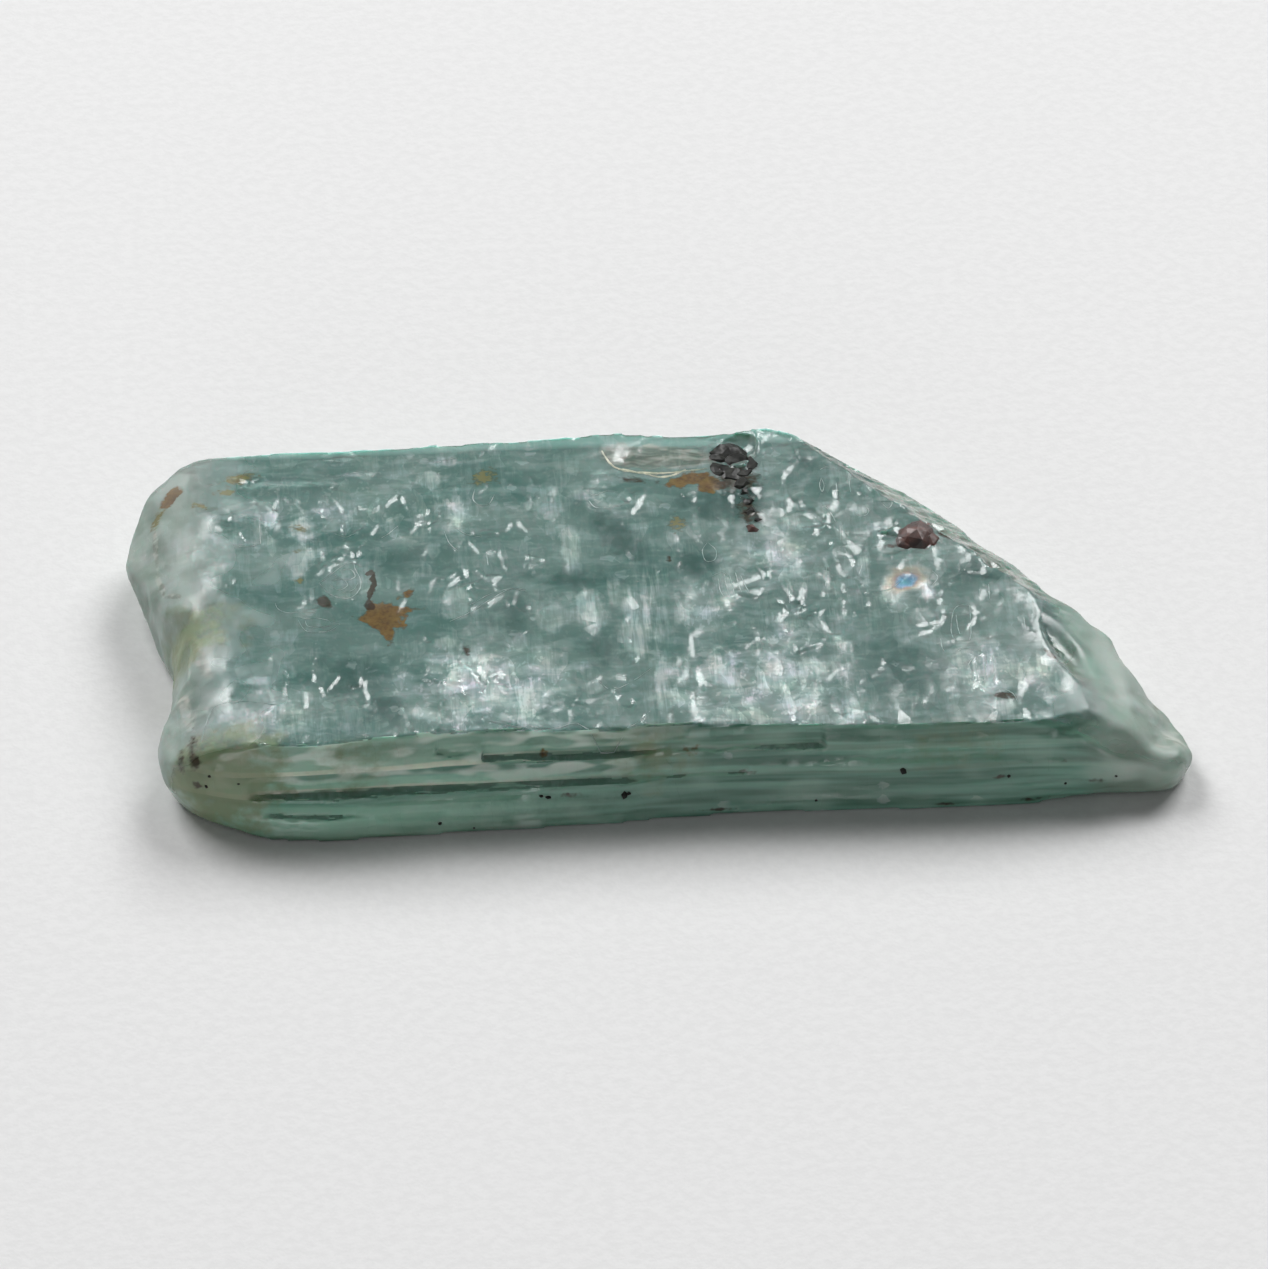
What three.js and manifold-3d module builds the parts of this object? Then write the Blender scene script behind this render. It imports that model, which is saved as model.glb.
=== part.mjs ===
// A rough blade of kyanite: one natural crystal, broken across at both ends.
// It lies on its broad cleavage face. Millimetres, +Z up, +X along the blade.
// The origin is on the face that it lies on, under the middle of the blade.
import * as THREE from "three";
import { mergeVertices } from "three/addons/utils/BufferGeometryUtils.js";
import Module from "manifold-3d";

const wasm = await Module();
wasm.setup();

// ---- Driving sizes ----------------------------------------------------------------

const THICK_LEFT = 2.95; // the blade thins from left to right
const THICK_RIGHT = 2.62;
const REACH = 13; // both thicknesses are met this far from the middle
const SIDE_LEAN = 16; // degrees: the side cleavage stands at 106 degrees to the broad one

const THICK = (THICK_LEFT + THICK_RIGHT) / 2;
const TAPER = Math.atan((THICK_LEFT - THICK_RIGHT) / (2 * REACH));
const RUN_OUT = THICK * Math.tan(THREE.MathUtils.degToRad(SIDE_LEAN));
const BELLY = 0.45; // the height of a broken end's belly, as a share of the thickness

// The outline of the blade from above, counterclockwise: x and y of the rim of the upper face,
// then how far the side stands out from that rim at the belly's height and at the foot.
const lean = (out) => [out * (1 - BELLY), out]; // a plain slope from rim to foot
const BACK = lean(-RUN_OUT); // parallel to the front side, so it overhangs
const OUTLINE = [
  // front side
  [-11.2, -5.82, ...lean(0.75)],
  [-9.6, -5.88, ...lean(0.87)],
  [-7.4, -5.65, ...lean(1.05)],
  [-4.2, -5.5, ...lean(1.1)],
  [-3.5, -5.65, ...lean(0.95)],
  [-1.3, -5.7, ...lean(0.83)],
  [-0.5, -5.5, ...lean(0.95)],
  [2.4, -5.55, ...lean(0.8)],
  [5.5, -5.72, ...lean(0.7)],
  [8.8, -5.75, ...lean(0.75)],
  [10.6, -5.8, ...lean(0.65)],
  // blunt tip
  [12.0, -5.9, 0.35, 0.4],
  [13.2, -6.0, 0.4, 0.3],
  [14.15, -6.0, 0.45, 0.25],
  [14.6, -5.4, 0.4, 0.2],
  [14.5, -4.5, 0.4, 0.2],
  // broken right end
  [13.9, -3.8, 0.4, 0.3],
  [13.15, -2.9, 0.35, 0.35],
  [12.85, -2.2, 0.35, 0.4],
  [12.7, -1.5, 0.4, 0.4],
  [12.0, -0.75, 0.4, 0.3],
  [11.2, -0.1, 0.4, 0.2],
  [10.75, 0.75, 0.4, 0.2],
  [10.05, 1.75, 0.35, 0.1],
  [9.35, 2.35, 0.3, 0.1],
  [8.9, 3.4, 0.3, 0.1],
  [8.0, 4.45, 0.25, 0.1],
  [6.85, 5.2, 0.2, 0],
  [5.3, 6.25, 0.15, -0.1],
  [4.4, 6.85, 0, -0.3],
  // back side
  [3.4, 7.1, ...BACK],
  [-0.8, 7.1, ...BACK],
  [-2.0, 6.9, ...BACK],
  [-4.6, 6.85, ...BACK],
  [-7.7, 6.75, ...BACK],
  [-11.4, 6.72, ...BACK],
  [-12.7, 6.62, ...BACK],
  // back lobe of the broken left end
  [-13.3, 6.3, 0.15, -0.6],
  [-13.75, 5.6, 0.5, -0.3],
  [-14.0, 4.7, 0.75, 0],
  [-14.1, 3.6, 0.8, 0.15],
  [-14.0, 2.5, 0.6, 0.2],
  [-13.85, 1.5, 0.4, 0.2],
  [-13.65, 0.6, 0.3, 0.2],
  // notch
  [-13.2, -0.2, 0.45, 0.35],
  [-12.85, -1.1, 0.75, 0.55],
  // front lobe
  [-12.85, -2.0, 0.85, 0.6],
  [-13.1, -3.0, 0.65, 0.45],
  [-13.35, -4.0, 0.75, 0.4],
  [-13.3, -4.75, 0.75, 0.35],
  [-12.95, -5.4, 0.5, 0.25],
  [-12.2, -5.72, 0.4, 0.4],
];
const STEPS_PER_POINT = 3; // points drawn for each point of the outline
const CORNER_SOFTNESS = 0.35; // tension of the curve through the outline's points
const LEVELS = [0, 0.15, 0.3, 0.45, 0.6, 0.75, 0.88, 1]; // heights of the side's rings, as shares
const OVERSHOOT = 1; // the blank stands this much above the upper face, which is cut afterwards

// ---- Making and cutting solids ------------------------------------------------------

/** A closed geometry as a solid that can be joined and cut. */
function solid(geometry, matrix = new THREE.Matrix4()) {
  const bare = geometry.clone().applyMatrix4(matrix);
  bare.deleteAttribute("normal");
  bare.deleteAttribute("uv");
  const merged = mergeVertices(bare, 1e-4);
  return new wasm.Manifold(
    new wasm.Mesh({
      numProp: 3,
      vertProperties: merged.attributes.position.array,
      triVerts: new Uint32Array(merged.index.array),
    }),
  );
}

/** A placement: moved to a point, and turned by degrees about X, then Y, then Z. */
function place(x, y, z, turnX = 0, turnY = 0, turnZ = 0) {
  const turns = [turnX, turnY, turnZ].map(THREE.MathUtils.degToRad);
  const turned = new THREE.Matrix4().makeRotationFromEuler(new THREE.Euler(...turns, "ZYX"));
  return turned.setPosition(x, y, z);
}

/** The upper face's own placement: its z is 0 on that face, which slopes down to the right. */
const UPPER_FACE = place(0, 0, THICK, 0, THREE.MathUtils.radToDeg(TAPER), 0);

// ---- The blank: side walls drawn through rings ----------------------------------------

/** How far a side stands out at a share of the height: the parabola through foot, belly and rim. */
function standOut(share, belly, foot) {
  const footPart = ((share - BELLY) * (share - 1)) / BELLY;
  const bellyPart = (share * (1 - share)) / (BELLY * (1 - BELLY));
  return foot * footPart + belly * bellyPart;
}

/** The smooth outline at a share of the height. */
function ring(share) {
  const points = OUTLINE.map(([x, y, belly, foot], i) => {
    const [beforeX, beforeY] = OUTLINE.at(i - 1);
    const [afterX, afterY] = OUTLINE[(i + 1) % OUTLINE.length];
    const outwards = new THREE.Vector2(afterY - beforeY, beforeX - afterX).normalize();
    const out = standOut(share, belly, foot);
    return new THREE.Vector3(x + outwards.x * out, y + outwards.y * out, 0);
  });
  const curve = new THREE.CatmullRomCurve3(points, true, "catmullrom", CORNER_SOFTNESS);
  return curve.getPoints(OUTLINE.length * STEPS_PER_POINT).slice(0, -1);
}

function bladeBlank() {
  const rings = LEVELS.map((share) => ring(share).map((p) => p.setZ(share * THICK)));
  rings.push(ring(1).map((p) => p.setZ(THICK + OVERSHOOT)));
  const count = rings[0].length;
  const index = [];
  for (let level = 0; level < rings.length - 1; level += 1) {
    for (let i = 0; i < count; i += 1) {
      const low = level * count + i;
      const lowNext = level * count + ((i + 1) % count);
      index.push(low, lowNext, low + count, lowNext, lowNext + count, low + count);
    }
  }
  const lid = (rings.length - 1) * count;
  const flat = (points) => points.map((p) => new THREE.Vector2(p.x, p.y));
  for (const [a, b, c] of THREE.ShapeUtils.triangulateShape(flat(rings[0]), [])) index.push(a, c, b);
  for (const [a, b, c] of THREE.ShapeUtils.triangulateShape(flat(rings.at(-1)), [])) {
    index.push(lid + a, lid + b, lid + c);
  }
  const geometry = new THREE.BufferGeometry().setFromPoints(rings.flat());
  return solid(geometry.setIndex(index));
}

// ---- Cutters ---------------------------------------------------------------------------

const PAST = 2; // how far a cutter runs past the surface it cuts through
const BEYOND = 60; // the side of a cutter that takes everything above a plane

/** Everything above a plane through a point, which slopes down towards a compass direction. */
function above(x, y, z, facing, slope) {
  const slab = new THREE.BoxGeometry(BEYOND, BEYOND, BEYOND).translate(0, 0, BEYOND / 2);
  return solid(slab, place(x, y, z, 0, slope, facing));
}

/** A shallow step in the upper face: an outline sunk to a depth, with a floor parallel to it. */
function terrace(depth, ...outline) {
  const shape = new THREE.Shape(outline.map(([x, y]) => new THREE.Vector2(x, y)));
  const prism = new THREE.ExtrudeGeometry(shape, { depth: depth + PAST, bevelEnabled: false });
  return solid(prism.translate(0, 0, -depth), UPPER_FACE);
}

/** A shell-like scoop: part of an ellipsoid with few facets. */
function scoop(x, y, z, alongX, alongY, alongZ, turnZ = 0, turnY = 0) {
  const ball = new THREE.SphereGeometry(1, 18, 12).scale(alongX, alongY, alongZ);
  return solid(ball, place(x, y, z, 0, turnY, turnZ));
}

/** A long straight ledge in a side, with the width of its tread at each end. */
function ledge(side, from, to, share, treadFrom, treadTo) {
  const wall = ring(share).filter((p) => p.x > from && p.x < to && p.y * side > 0);
  wall.sort((a, b) => a.x - b.x);
  const start = wall[0];
  const end = wall.at(-1);
  const shape = new THREE.Shape([
    new THREE.Vector2(start.x, side * BEYOND),
    new THREE.Vector2(start.x, start.y - side * treadFrom),
    new THREE.Vector2(end.x, end.y - side * treadTo),
    new THREE.Vector2(end.x, side * BEYOND),
  ]);
  const bar = new THREE.ExtrudeGeometry(shape, { depth: PAST * 2, bevelEnabled: false });
  // the front side leans out, so the ledge faces up; the back side overhangs, so it faces down
  const bottom = side < 0 ? share * THICK : share * THICK - PAST * 2;
  return solid(bar.translate(0, 0, bottom));
}

// ---- The blade ---------------------------------------------------------------------------

const TOWARDS_FRONT = -1;
const TOWARDS_BACK = 1;
// side, from x, to x, height as a share of the thickness, width of the tread at each end
const LEDGES = [
  [TOWARDS_FRONT, -6.8, -2.6, 0.8, 0.16, 0.12],
  [TOWARDS_FRONT, -6.2, 5.2, 0.7, 0.24, 0.2],
  [TOWARDS_FRONT, -11.6, 2.5, 0.44, 0.19, 0.09],
  [TOWARDS_FRONT, -11.6, -7.6, 0.24, 0.12, 0.04],
  [TOWARDS_FRONT, 1.6, 11.6, 0.55, 0.03, 0.1],
  [TOWARDS_BACK, -12.8, -4.0, 0.35, 0.16, 0.05],
  [TOWARDS_BACK, -6.8, 3.4, 0.62, 0.05, 0.18],
  [TOWARDS_BACK, -3.0, 4.0, 0.25, 0.04, 0.12],
];

/** The upper face: flat cleavage with a few shallow steps that run along the blade. */
function upperFaceCuts() {
  return [
    above(0, 0, THICK, 0, THREE.MathUtils.radToDeg(TAPER)),
    // along the back edge
    terrace(0.05, [-16, 5.5], [-9.6, 5.4], [-9.3, 5.0], [-5.2, 5.1], [-4.8, 8], [-16, 8]),
    // the lower side of the parting that crosses the blade
    terrace(0.05, [1.0, -7], [0.9, 2.4], [4.6, 2.5], [4.8, 1.7], [8.6, 1.6], [16, 1.6], [16, -7]),
  ];
}

/** The broken right end: flat fracture faces that fall away to the blunt tip. */
function rightEndCuts() {
  return [
    above(8.85, 1.75, 2.66, 40, 35),
    above(11.05, -2.4, 2.64, 12, 26),
    // the long fall to the tip; the tip's own top falls to the back, and its edges are worn off
    above(12.85, -5.8, 2.2, 3, 42).intersect(above(14.2, -5.6, 1.25, 50, 24)),
    above(14.75, -5.2, 0.8, 10, 50),
    above(13.2, -6.1, 1.6, 290, 40),
    // shell-like hollows
    scoop(11.75, -2.9, 3.45, 0.7, 2.3, 1.4, 22),
    scoop(12.9, 1.7, 1.9, 2.2, 0.9, 1.6, -45),
    scoop(10.6, 3.2, 1.2, 1.8, 0.7, 1.4, -48),
    scoop(15.2, -2.2, 1.6, 1.9, 0.9, 1.4, -40),
    // chips along the upper edge
    scoop(7.3, 4.25, 3.05, 0.95, 0.55, 0.62, -52),
    scoop(8.7, 2.75, 2.95, 0.8, 0.5, 0.75, -44),
    scoop(10.1, 1.05, 2.95, 1.0, 0.55, 0.7, -50),
  ];
}

/** The broken left end: a worn round shoulder, a valley between two lobes, and worn corners. */
function leftEndCuts() {
  return [
    above(-12.3, 2.5, 2.94, 186, 9),
    above(-13.0, 2.5, 2.83, 186, 22),
    above(-13.6, 2.5, 2.59, 186, 40),
    scoop(-14.6, -0.6, 4.6, 2.6, 1.5, 2.6),
    above(-12.0, -5.0, 2.93, 235, 15),
    above(-12.6, -5.55, 2.95, 225, 40),
    above(-13.2, 6.35, 2.8, 140, 42),
    scoop(-15.3, 1.5, 1.6, 1.1, 1.2, 1.2),
    scoop(-14.6, -2.7, 1.9, 1.0, 1.3, 1.3),
  ];
}

/** The back edge: a shallow sloping chip between two gentler faces, and a hollow for grains. */
function backEdgeCuts() {
  const left = above(-1.3, 5.6, 2.8, -15, 7);
  const right = above(3.9, 5.6, 2.74, 200, 9);
  return [
    above(1.4, 4.45, 2.765, 95, 4).intersect(left).intersect(right),
    scoop(2.9, 6.3, 2.9, 0.7, 0.7, 0.5),
  ];
}

/** Guest grains grown into the blade: each stands a little proud of it. */
function guestGrains() {
  const grain = (radius, x, y, z, turn) =>
    solid(new THREE.DodecahedronGeometry(radius), place(x, y, z, turn, turn / 2, turn * 2));
  return [
    grain(0.42, 2.6, 6.1, 2.42, 20),
    grain(0.48, 3.0, 5.4, 2.44, 50),
    grain(0.34, 2.4, 5.2, 2.5, 80),
    grain(0.24, 3.1, 4.35, 2.62, 110),
    grain(0.3, 3.2, 3.2, 2.55, 140),
    grain(0.55, 7.75, 2.0, 2.36, 35),
  ];
}

function blade() {
  const cuts = [
    ...upperFaceCuts(),
    ...rightEndCuts(),
    ...leftEndCuts(),
    ...backEdgeCuts(),
    ...LEDGES.map((sizes) => ledge(...sizes)),
  ];
  let stone = bladeBlank();
  for (const cut of cuts) stone = stone.subtract(cut);
  for (const grain of guestGrains()) stone = stone.add(grain);
  return stone;
}

/** A solid's mesh as a geometry, with the origin under the middle of it. */
function geometryOf(made) {
  const mesh = made.getMesh();
  const geometry = new THREE.BufferGeometry()
    .setAttribute("position", new THREE.BufferAttribute(mesh.vertProperties, 3))
    .setIndex(new THREE.BufferAttribute(mesh.triVerts, 1));
  geometry.computeBoundingBox();
  const middle = geometry.boundingBox.getCenter(new THREE.Vector3());
  return geometry.translate(-middle.x, -middle.y, 0);
}

const kyanite = new THREE.MeshStandardMaterial({
  color: 0x7f9a92,
  roughness: 0.22,
  metalness: 0,
});

const specimen = new THREE.Group();
const crystal = new THREE.Mesh(geometryOf(blade()), kyanite);
crystal.name = "kyanite_blade";
specimen.add(crystal);

export default specimen;
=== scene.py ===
import math
import random

import bpy
import numpy as np
from mathutils import Matrix, Vector, noise
from mathutils.bvhtree import BVHTree

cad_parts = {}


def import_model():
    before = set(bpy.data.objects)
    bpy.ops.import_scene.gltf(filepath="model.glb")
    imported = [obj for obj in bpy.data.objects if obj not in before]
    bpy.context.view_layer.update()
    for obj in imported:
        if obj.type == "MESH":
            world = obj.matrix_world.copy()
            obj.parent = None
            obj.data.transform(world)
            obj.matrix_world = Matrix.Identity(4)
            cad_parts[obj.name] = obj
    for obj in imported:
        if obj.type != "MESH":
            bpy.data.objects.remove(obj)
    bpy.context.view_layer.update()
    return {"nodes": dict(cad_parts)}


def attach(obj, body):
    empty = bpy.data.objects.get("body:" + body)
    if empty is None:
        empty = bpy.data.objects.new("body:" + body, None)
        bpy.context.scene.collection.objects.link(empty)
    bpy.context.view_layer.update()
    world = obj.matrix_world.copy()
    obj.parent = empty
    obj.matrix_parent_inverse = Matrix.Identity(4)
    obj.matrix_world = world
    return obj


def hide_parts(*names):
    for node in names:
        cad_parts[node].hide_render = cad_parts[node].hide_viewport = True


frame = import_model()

# ---- The kyanite blade -----------------------------------------------------------------
# One natural crystal, grey-green to teal and half clear, lying on its broad cleavage face.
# Its long sides are stepped and finely lined along its length, and its broken ends are worn.

MM = 0.001
NODE = "kyanite_blade"
GRAIN = 0.072               # side of the small faces that the relief is cut in, mm
MOST_FACES = 185000         # triangles left in the finished blade
LEVEL_PASSES = 125          # rounds of smoothing that wear the steps of the upper face
TREADS = 9                  # levels that the fine steps of the sides are cut in
CREASE = 38                 # degrees between faces that still look smooth


class Pattern:
    """A number, colour or vector that varies over a piece, as a node's output."""

    def __init__(self, tree, socket=None):
        self.tree = tree
        self.socket = socket

    def node(self, kind, settings=None, inputs=None, output=0):
        made = self.tree.nodes.new(kind)
        for name, value in (settings or {}).items():
            if name == "stops":
                ramp = made.color_ramp
                while len(ramp.elements) < len(value):
                    ramp.elements.new(0.5)
                for element, (place, colour) in zip(ramp.elements, value):
                    element.position = place
                    element.color = (*colour, 1)
            else:
                setattr(made, name, value)
        for name, value in (inputs or {}).items():
            if isinstance(value, Pattern):
                self.tree.links.new(value.socket, made.inputs[name])
            else:
                made.inputs[name].default_value = value
        return Pattern(self.tree, made.outputs[output] if made.outputs else None)

    def math(self, operation, *others):
        inputs = dict(enumerate((self, *others)))
        return self.node("ShaderNodeMath", {"operation": operation}, inputs)

    def __add__(self, other):
        return self.math("ADD", other)

    def __mul__(self, other):
        return self.math("MULTIPLY", other)

    def __sub__(self, other):
        return self.math("SUBTRACT", other)

    def __rsub__(self, other):
        return self * -1 + other

    def __truediv__(self, other):
        return self.math("DIVIDE", other)

    __radd__ = __add__
    __rmul__ = __mul__

    def most(self, *others):
        result = self
        for other in others:
            result = result.math("MAXIMUM", other)
        return result

    def rise(self, low, high):
        """0 below low, 1 above high, and a smooth rise between them."""
        return self.node(
            "ShaderNodeMapRange",
            {"interpolation_type": "SMOOTHSTEP"},
            {"Value": self, "From Min": low, "From Max": high},
        )

    def part(self, axis):
        return self.node("ShaderNodeSeparateXYZ", {}, {0: self}, "xyz".index(axis))

    def stretched(self, x, y, z, shift=(0, 0, 0)):
        """The same place in coordinates that are multiplied along each axis, then moved."""
        return self.node(
            "ShaderNodeVectorMath",
            {"operation": "MULTIPLY_ADD"},
            {0: self, 1: (x, y, z), 2: shift},
        )

    def noise(self, scale=1, detail=2, roughness=0.5):
        """Soft noise around 0.5 at a place, with about this many lumps a millimetre."""
        return self.node(
            "ShaderNodeTexNoise",
            {},
            {"Vector": self, "Scale": scale, "Detail": detail, "Roughness": roughness},
        )

    def cells(self, output=0, metric="EUCLIDEAN", flat=False):
        """Cells of about a millimetre; flat ones are the same at every height."""
        return self.node(
            "ShaderNodeTexVoronoi",
            {"distance": metric, "voronoi_dimensions": "2D" if flat else "3D"},
            {"Vector": self, "Scale": 1},
            output,
        )

    def cell_value(self):
        """One chance number from 0 to 1 for each square cell."""
        return self.cells(1, "CHEBYCHEV", True).part("x")

    def mix(self, first, second):
        """From the first colour to the second as this pattern goes from 0 to 1."""
        colours = [c if isinstance(c, Pattern) else (*c, 1) for c in (first, second)]
        return self.node(
            "ShaderNodeMix",
            {"data_type": "RGBA"},
            {0: self, 6: colours[0], 7: colours[1]},
            2,
        )

    def bent(self, scale, amount):
        """The same place moved a little by soft noise, so that what is drawn there wanders."""
        push = self.node("ShaderNodeTexNoise", {}, {"Vector": self, "Scale": scale, "Detail": 1}, 1)
        return push.node(
            "ShaderNodeVectorMath",
            {"operation": "MULTIPLY_ADD"},
            {0: push, 1: (amount, amount, amount), 2: self},
        )

    def facets(self, slope, flat=False):
        """Height of small flat facets, one a cell, each tilted its own way."""
        centre = self.cells(2, "EUCLIDEAN", flat)
        lean = Pattern(self.tree, centre.socket.node.outputs[1])
        across = self.node("ShaderNodeVectorMath", {"operation": "SUBTRACT"}, {0: self, 1: centre})
        dot = {"operation": "DOT_PRODUCT"}
        upright = 0 if flat else slope
        tilt = lean.stretched(slope, slope, upright, (-slope / 2, -slope / 2, -upright / 2))
        return across.node("ShaderNodeVectorMath", dot, {0: across, 1: tilt}, 1)


def deselect():
    bpy.ops.object.select_all(action="DESELECT")


def pick(piece):
    deselect()
    piece.select_set(True)
    bpy.context.view_layer.objects.active = piece


def apply_modifier(piece, kind, **settings):
    pick(piece)
    modifier = piece.modifiers.new(kind.lower(), kind)
    for name, value in settings.items():
        setattr(modifier, name, value)
    bpy.ops.object.modifier_apply(modifier=modifier.name)


blade = bpy.data.objects.new("blade", frame["nodes"][NODE].data.copy())
bpy.context.scene.collection.objects.link(blade)
pick(blade)
blade.scale = (1000, 1000, 1000)
bpy.ops.object.transform_apply(location=False, rotation=False)
bpy.ops.object.mode_set(mode="EDIT")
bpy.ops.mesh.select_all(action="SELECT")
bpy.ops.mesh.remove_doubles(threshold=0.001)
bpy.ops.object.mode_set(mode="OBJECT")
apply_modifier(blade, "REMESH", mode="VOXEL", voxel_size=GRAIN, use_smooth_shade=True)
apply_modifier(blade, "SMOOTH", factor=0.5, iterations=2)

# both broken ends are worn round: which way, from what x in millimetres, and how much
for name, way, begins, passes in (("worn left", -1, 11.0, 70), ("worn right", 1, 10.2, 60)):
    worn = blade.vertex_groups.new(name=name)
    for point in blade.data.vertices:
        wear = min(1.0, max(0.0, (point.co.x * way - begins) / 1.2))
        if wear > 0:
            worn.add([point.index], wear, "REPLACE")
    apply_modifier(blade, "SMOOTH", factor=0.5, iterations=passes, vertex_group=name)

# the steps on the upper face are worn to soft slopes
level_face = blade.vertex_groups.new(name="level face")
for point in blade.data.vertices:
    if point.normal.z > 0.95 and point.co.z > 2.4 and abs(point.co.x) < 12:
        level_face.add([point.index], 1.0, "REPLACE")
apply_modifier(blade, "SMOOTH", factor=0.5, iterations=LEVEL_PASSES, vertex_group="level face")

# growth and breakage relief, in millimetres along the surface's own direction
relief = bpy.data.node_groups.new("crystal relief", "GeometryNodeTree")
relief.interface.new_socket("Geometry", in_out="INPUT", socket_type="NodeSocketGeometry")
relief.interface.new_socket("Geometry", in_out="OUTPUT", socket_type="NodeSocketGeometry")
stone = Pattern(relief).node("NodeGroupInput")
place = Pattern(relief).node("GeometryNodeInputPosition")
facing = Pattern(relief).node("GeometryNodeInputNormal")
upward = facing.part("z")
on_top = upward.rise(0.8, 0.97)
on_side = 1 - upward.math("ABSOLUTE").rise(0.35, 0.7)
on_edge = 1 - on_top.most(on_side, (upward * -1).rise(0.4, 0.7))
on_end = (1 - place.part("x").rise(-12.6, -11.6)).most(place.part("x").rise(11.2, 12.4))
bulges = (place.stretched(0.75, 0.65, 0.7, (0, 3, 0)).noise(1, 1, 0.5) - 0.5) * 0.34
left_bulges = (place.part("x") * -1).rise(11.6, 13.2) * 0.7
bulges = bulges * place.part("x").rise(10.6, 12.0).most(left_bulges)
off_floor = place.part("z").rise(0.02, 0.35)
swell = (place.noise(0.22, 2) - 0.5) * 0.12
waves = (place.stretched(0.6, 0.5, 0.5).noise(1, 3, 0.55) - 0.5) * 0.06
broken = place.stretched(0.3, 0.4, 0.3, (5, 2, 0)).noise(1, 2, 0.5).rise(0.5, 0.65)
chips = place.stretched(1.5, 0.9, 0.8).facets(0.1)
chips = chips + place.stretched(0.9, 1.8, 0.8, (4, 4, 0)).facets(0.06)
chips = chips * (0.25 + broken * 0.75) * (1 - place.part("x").rise(9.6, 10.8))
lines = (place.stretched(0.05, 0.6, 2.6).noise(1, 4, 0.6) - 0.5) * 0.12
treads = place.stretched(0.07, 0.3, 1.5, (2, 0, 0)).noise(1, 3, 0.5)
treads = ((treads * TREADS).math("FLOOR") / TREADS - 0.5) * 0.13
lumps = (place.noise(0.7, 3, 0.6) - 0.5) * 0.16
nicks = (place.stretched(0.9, 1.6, 1.6).noise(1, 3, 0.6) - 0.62) * 0.3
offset = (
    swell
    + on_top * (waves + chips - 0.02)
    + on_side * ((lines + treads) * (1 - on_end) + lumps * (0.35 + on_end))
    + bulges
    + on_edge * nicks * (1 - on_end * 0.75)
)
moved = facing.node(
    "ShaderNodeVectorMath",
    {"operation": "SCALE"},
    {"Vector": facing, "Scale": offset * off_floor},
)
shaped = stone.node("GeometryNodeSetPosition", {}, {"Geometry": stone, "Offset": moved})
shaped.node("NodeGroupOutput", {}, {0: shaped})
apply_modifier(blade, "NODES", node_group=relief)
apply_modifier(blade, "SMOOTH", factor=0.3, iterations=1)
apply_modifier(blade, "DECIMATE", ratio=MOST_FACES / (2 * len(blade.data.polygons)))
blade.scale = (MM, MM, MM)
bpy.ops.object.transform_apply(location=False, rotation=False)
bpy.ops.object.shade_smooth_by_angle(angle=math.radians(CREASE))


def material(name):
    made = bpy.data.materials.new(name)
    made.use_nodes = True
    made.node_tree.nodes.clear()
    return made, Pattern(made.node_tree)


def millimetres(start):
    """Object coordinates in millimetres."""
    objects = start.node("ShaderNodeTexCoord", output=3)
    return objects.stretched(1000, 1000, 1000)


corners = np.array([point.co[:] for point in blade.data.vertices]) / MM
wander = np.array([noise.fractal(Vector(point) * 1.7, 0.7, 2.0, 3) for point in corners])


def closeness(*spots, ragged=0.5, z=2.7, deep=0.9, axes=(0, 1, 2)):
    """For each point of the blade: 1 at the middle of the nearest spot and 0.5 at its rim, and
    that spot's strength. Each spot is its x, y, two radii, turn in degrees and strength; for
    spots on the front side, the axes take the height in y's place and y in z's."""
    nearest = np.zeros(len(corners))
    strength = np.zeros(len(corners))
    for x, y, radius_x, radius_y, turn, power in spots:
        turned = math.radians(turn)
        along, across, up = (corners[:, axes] - (x, y, z)).T
        first = (along * math.cos(turned) + across * math.sin(turned)) / radius_x
        second = (across * math.cos(turned) - along * math.sin(turned)) / radius_y
        near = 1 - 0.5 * (np.sqrt(first**2 + second**2 + (up / deep) ** 2) + wander * ragged)
        closer = near > nearest
        nearest[closer] = near[closer]
        strength[closer] = power
    return nearest, strength


def record(name, *values):
    """Keeps three numbers for each point of the blade, for its material to read."""
    layer = blade.data.attributes.new(name, "FLOAT_VECTOR", "POINT")
    layer.data.foreach_set("vector", np.stack(values, axis=1).ravel())


cloud, cloud_power = closeness(
    (-5.41, -4.03, 1.21, 1.38, 0, 0.9), (-7.15, -3.64, 0.64, 0.64, 0, 0.6),
    (-11.71, -4.86, 1.64, 0.85, 0, 0.7), (-12.62, 2.69, 0.64, 1.38, 0, 0.5),
    (-7.47, 2.66, 0.71, 0.53, 0, 0.4), (-5.22, 3.42, 0.64, 0.96, 0, 0.5),
    (-4.14, -4.03, 1.33, 1.38, 0, 0.8), (3.09, -4.53, 1.74, 1.69, 0, 0.9),
    (1.33, -0.81, 0.92, 0.92, 0, 0.5), (3.76, 1.39, 1.13, 1.07, 0, 0.6),
    (-1.03, 4.14, 0.82, 0.92, 0, 0.4), (3.27, -3.21, 0.93, 1.28, 0, 0.7),
    (7.36, -0.12, 0.93, 0.74, 0, 0.8), (9.11, -4.02, 0.71, 1.06, 0, 0.9),
    (10.70, -4.30, 0.71, 0.96, 0, 0.6), (5.16, -3.30, 0.36, 1.49, 0, 0.5),
    (-9.5, 3.9, 3.4, 1.9, 0, 0.4), (8.0, 1.0, 2.0, 1.5, -40, 0.3),
    ragged=0.9,
)
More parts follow.
